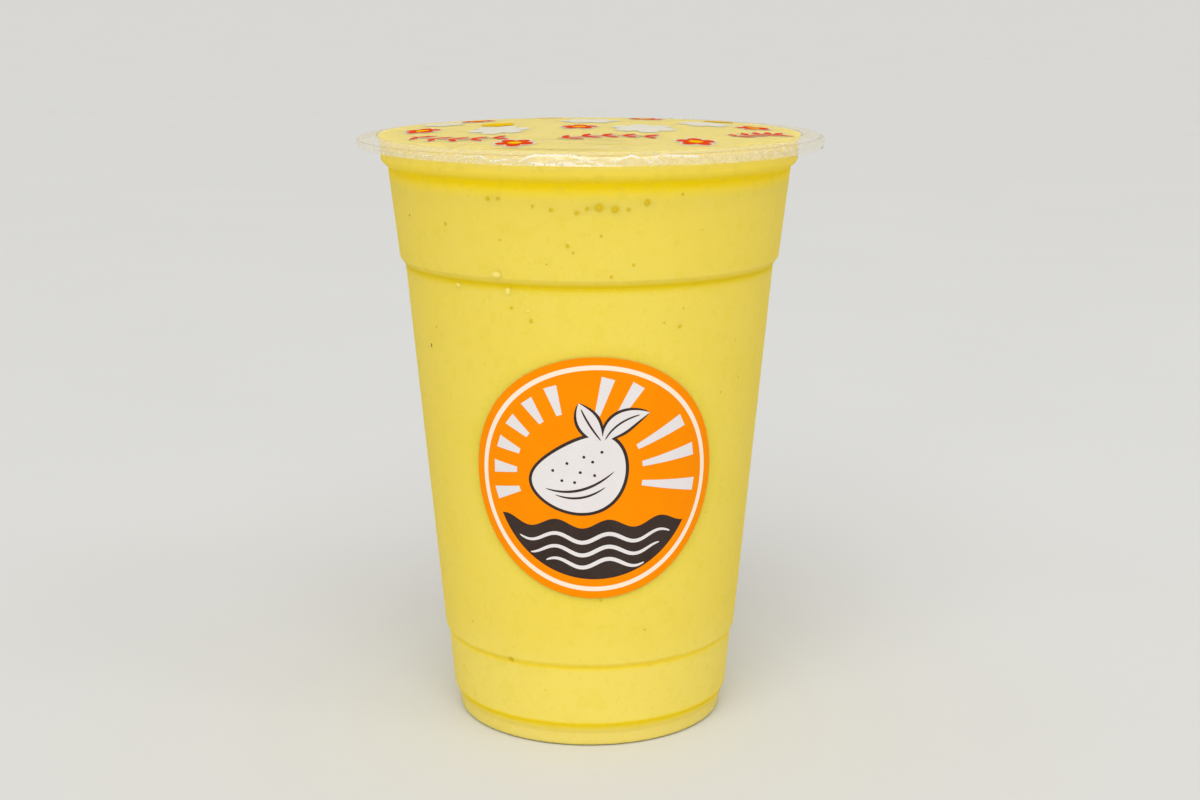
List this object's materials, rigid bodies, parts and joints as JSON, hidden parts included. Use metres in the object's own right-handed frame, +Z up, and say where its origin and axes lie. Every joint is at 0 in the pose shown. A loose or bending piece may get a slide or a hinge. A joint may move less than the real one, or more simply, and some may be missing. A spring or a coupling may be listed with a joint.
{
  "type": "mango smoothie",
  "caption": "Tapered clear take-away cup with stepped sides, full of thick yellow mango smoothie, sealed with a printed film lid and carrying a round orange label.",
  "frame": {"origin": "middle of the foot, on the surface that the cup stands on", "axes": "+Z up along the cup's axis; the label faces -Y"},
  "size_m": [0.0964, 0.0964, 0.125],
  "materials": {
    "clear_plastic": "thin clear polypropylene, glossy with a slight haze",
    "mango_smoothie": "thick opaque fruit drink, fine pulp and a few bubbles",
    "printed_film": "clear heat-sealed film, finely creased, with a scattered flower print",
    "label_print": "satin printed sticker"
  },
  "bodies": {
    "root": {"cup": "clear_plastic", "smoothie": "mango_smoothie", "film_lid": "printed_film", "label": "label_print"}
  },
  "joints": []
}
